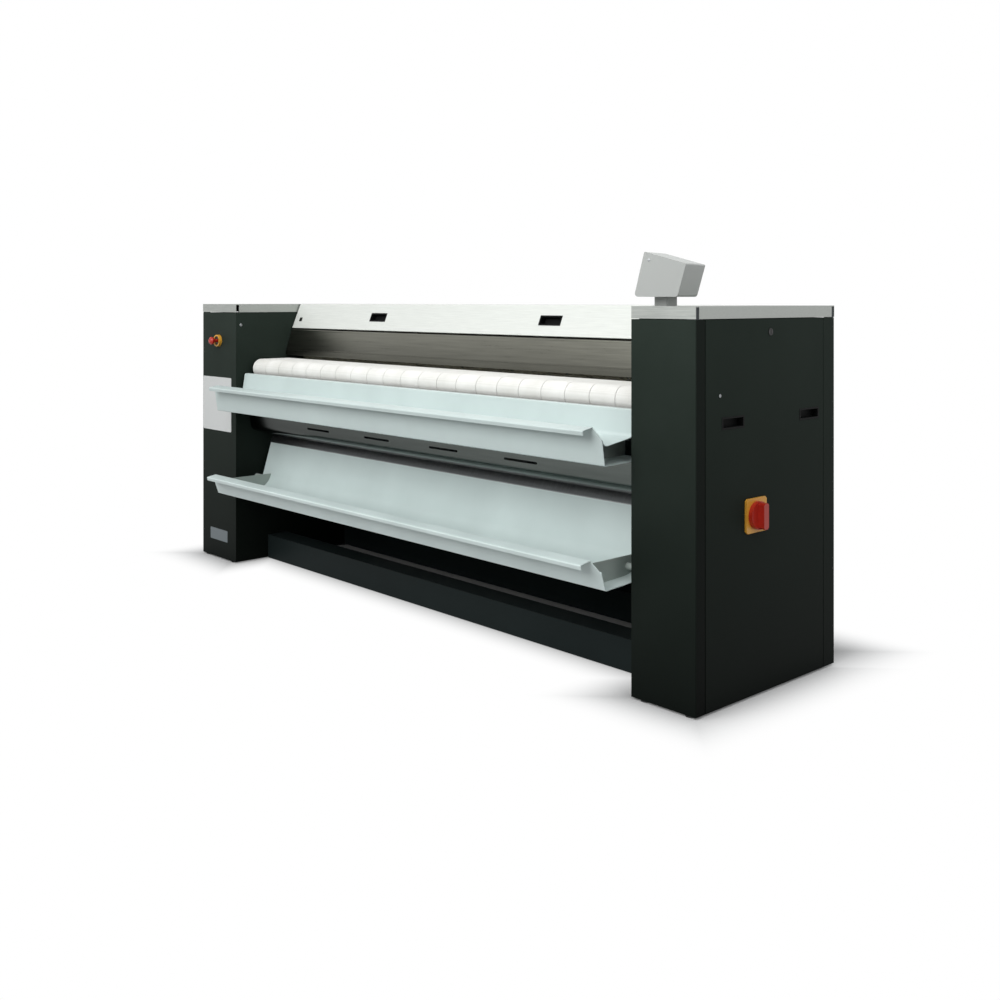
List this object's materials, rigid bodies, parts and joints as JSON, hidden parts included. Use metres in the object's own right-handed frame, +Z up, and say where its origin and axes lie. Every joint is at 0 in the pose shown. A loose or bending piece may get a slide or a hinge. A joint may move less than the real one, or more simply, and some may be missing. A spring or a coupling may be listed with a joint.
{
  "type": "flatwork ironer",
  "caption": "Drying flatwork ironer: two end cabinets, belt-wrapped heated cylinder, feed belts with trough, return tray, lift-up hood, sprung finger guard and swivel console",
  "frame": {"origin": "on the floor, in the middle of the machine's box seen from above", "axes": "+X along the cylinder to the control cabinet, +Y to the back, +Z up"},
  "size_m": [2.703, 0.8874, 1.2263],
  "materials": {
    "anthracite_panel": "textured powder coat",
    "frame_paint": "powder coat",
    "tray_paint": "satin powder coat",
    "hood_paint": "satin powder coat",
    "stainless": "brushed",
    "polished_steel": "polished",
    "galvanised": "galvanised",
    "steel": "turned",
    "drum_steel": "ground and polished",
    "cast_iron": "painted casting",
    "white_fabric": "woven polyester",
    "felt": "heat-resistant felt",
    "black_plastic": "moulded",
    "grey_plastic": "moulded, fine grain",
    "yellow_plastic": "moulded",
    "red_plastic": "moulded",
    "pale_plastic": "moulded",
    "screen_glass": "polished",
    "green_plastic": "moulded"
  },
  "bodies": {
    "machine": {"side_frame_left": "anthracite_panel", "side_frame_right": "anthracite_panel", "subframes": "frame_paint", "front_panels": "anthracite_panel", "rear_panels": "anthracite_panel", "levelling_feet": "black_plastic", "crossbeams": "anthracite_panel", "rear_cover": "anthracite_panel", "feed_belts": "white_fabric", "feed_bed": "stainless", "roller_bearings": "cast_iron", "heater_bundle": "steel", "ironing_belts": "felt", "stripper_fingers": "stainless", "feed_trough": "tray_paint", "trough_liner": "tray_paint", "catch_tray": "tray_paint", "tray_end_plates": "tray_paint", "exit_apron": "polished_steel", "exit_chute": "stainless", "drive_chain": "steel", "gearmotor": "cast_iron", "fan_scroll": "galvanised", "fan_motor": "cast_iron", "electrical_plate": "galvanised", "switch_base": "pale_plastic", "electrical_gear": "pale_plastic", "estop_body": "yellow_plastic", "console_post": "grey_plastic", "top_cover_left": "stainless", "top_cover_right": "stainless"},
    "cylinder": {"heated_cylinder": "drum_steel", "cylinder_sprocket": "steel"},
    "nose_roller_body": {"nose_roller": "steel"},
    "feed_drive_body": {"feed_drive_roller": "steel"},
    "nip_roller_body": {"nip_roller": "steel"},
    "exit_roller_body": {"exit_roller": "steel"},
    "tension_roller_body": {"tension_roller": "steel"},
    "low_return_body": {"low_return_roller": "steel"},
    "motor_sprocket_body": {"motor_sprocket": "steel"},
    "impeller_body": {"fan_impeller": "galvanised"},
    "hood_body": {"hood": "hood_paint", "hood_grips": "black_plastic"},
    "guard_body": {"finger_guard": "polished_steel"},
    "left_panel_body": {"side_panel_left": "anthracite_panel", "panel_grips_left": "black_plastic"},
    "left_lock_body": {"panel_lock_left": "steel"},
    "right_panel_body": {"side_panel_right": "anthracite_panel", "panel_grips_right": "black_plastic", "switch_plate": "yellow_plastic"},
    "right_lock_body": {"panel_lock_right": "steel"},
    "switch_body": {"switch_handle": "red_plastic"},
    "estop_button_body": {"estop_button": "red_plastic"},
    "console_body": {"console_housing": "grey_plastic", "console_panel": "black_plastic", "console_screen": "screen_glass"},
    "key_start_body": {"key_start": "green_plastic"},
    "key_stop_body": {"key_stop": "red_plastic"},
    "key_faster_body": {"key_faster": "pale_plastic"},
    "key_slower_body": {"key_slower": "pale_plastic"}
  },
  "joints": [
    {"name": "cylinder_spin", "type": "hinge", "parent": "machine", "child": "cylinder", "pos_m": [0, 0.14175, 0.76], "axis": [-1, 0, 0], "continuous": true},
    {"name": "nose_roller_spin", "type": "hinge", "parent": "machine", "child": "nose_roller_body", "pos_m": [0, -0.18125, 0.811], "axis": [-1, 0, 0], "continuous": true},
    {"name": "feed_drive_spin", "type": "hinge", "parent": "machine", "child": "feed_drive_body", "pos_m": [0, -0.04825, 0.828], "axis": [-1, 0, 0], "continuous": true},
    {"name": "nip_roller_spin", "type": "hinge", "parent": "machine", "child": "nip_roller_body", "pos_m": [0, 0.00669, 0.89506], "axis": [-1, 0, 0], "continuous": true},
    {"name": "exit_roller_spin", "type": "hinge", "parent": "machine", "child": "exit_roller_body", "pos_m": [0, 0.00669, 0.62494], "axis": [-1, 0, 0], "continuous": true},
    {"name": "tension_roller_spin", "type": "hinge", "parent": "machine", "child": "tension_roller_body", "pos_m": [0, 0.31975, 0.945], "axis": [-1, 0, 0], "continuous": true},
    {"name": "low_return_spin", "type": "hinge", "parent": "machine", "child": "low_return_body", "pos_m": [0, 0.31975, 0.598], "axis": [-1, 0, 0], "continuous": true},
    {"name": "motor_sprocket_spin", "type": "hinge", "parent": "machine", "child": "motor_sprocket_body", "pos_m": [0, -0.05225, 0.43], "axis": [-1, 0, 0], "continuous": true},
    {"name": "fan_spin", "type": "hinge", "parent": "machine", "child": "impeller_body", "pos_m": [0, 0.18175, 0.245], "axis": [-1, 0, 0], "continuous": true},
    {"name": "hood_lift", "type": "hinge", "parent": "machine", "child": "hood_body", "pos_m": [0, 0.35275, 1.073], "axis": [-1, 0, 0], "range_deg": [0, 65]},
    {"name": "finger_guard_swing", "type": "hinge", "parent": "machine", "child": "guard_body", "pos_m": [0, -0.01525, 0.965], "axis": [1, 0, 0], "range_deg": [0, 8], "stiffness_Nm_per_rad": 6, "springref_deg": -17.19},
    {"name": "left_panel_lift_off", "type": "slide", "parent": "machine", "child": "left_panel_body", "axis": [-1, 0, 0], "range_m": [0, 0.3]},
    {"name": "right_panel_lift_off", "type": "slide", "parent": "machine", "child": "right_panel_body", "axis": [1, 0, 0], "range_m": [0, 0.3]},
    {"name": "left_lock_turn", "type": "hinge", "parent": "left_panel_body", "child": "left_lock_body", "pos_m": [-1.3495, 0.05025, 1.007], "axis": [1, 0, 0], "range_deg": [0, 90]},
    {"name": "right_lock_turn", "type": "hinge", "parent": "right_panel_body", "child": "right_lock_body", "pos_m": [1.3135, 0.05025, 1.007], "axis": [1, 0, 0], "range_deg": [0, 90]},
    {"name": "main_switch_turn", "type": "hinge", "parent": "right_panel_body", "child": "switch_body", "pos_m": [1.3135, -0.02425, 0.503], "axis": [1, 0, 0], "range_deg": [0, 90]},
    {"name": "estop_push", "type": "slide", "parent": "machine", "child": "estop_button_body", "axis": [0, 1, 0], "range_m": [0, 0.005]},
    {"name": "console_swivel", "type": "hinge", "parent": "machine", "child": "console_body", "pos_m": [1.165, -0.22825, 1.105], "axis": [0, 0, 1], "range_deg": [-90, 90]},
    {"name": "start_key_push", "type": "slide", "parent": "console_body", "child": "key_start_body", "axis": [0.932, 0.2725, -0.2388], "range_m": [0, 0.0015], "stiffness_N_per_m": 200, "springref_m": -0.001},
    {"name": "stop_key_push", "type": "slide", "parent": "console_body", "child": "key_stop_body", "axis": [0.932, 0.2725, -0.2388], "range_m": [0, 0.0015], "stiffness_N_per_m": 200, "springref_m": -0.001},
    {"name": "faster_key_push", "type": "slide", "parent": "console_body", "child": "key_faster_body", "axis": [0.932, 0.2725, -0.2388], "range_m": [0, 0.0015], "stiffness_N_per_m": 200, "springref_m": -0.001},
    {"name": "slower_key_push", "type": "slide", "parent": "console_body", "child": "key_slower_body", "axis": [0.932, 0.2725, -0.2388], "range_m": [0, 0.0015], "stiffness_N_per_m": 200, "springref_m": -0.001}
  ],
  "couplings": [
    {"joint": "nose_roller_spin", "follows": "cylinder_spin", "ratio": 4.3289},
    {"joint": "feed_drive_spin", "follows": "cylinder_spin", "ratio": 7.8333},
    {"joint": "nip_roller_spin", "follows": "cylinder_spin", "ratio": -6.2075},
    {"joint": "exit_roller_spin", "follows": "cylinder_spin", "ratio": -6.2075},
    {"joint": "tension_roller_spin", "follows": "cylinder_spin", "ratio": -6.2075},
    {"joint": "low_return_spin", "follows": "cylinder_spin", "ratio": -6.2075},
    {"joint": "motor_sprocket_spin", "follows": "cylinder_spin", "ratio": 3}
  ]
}
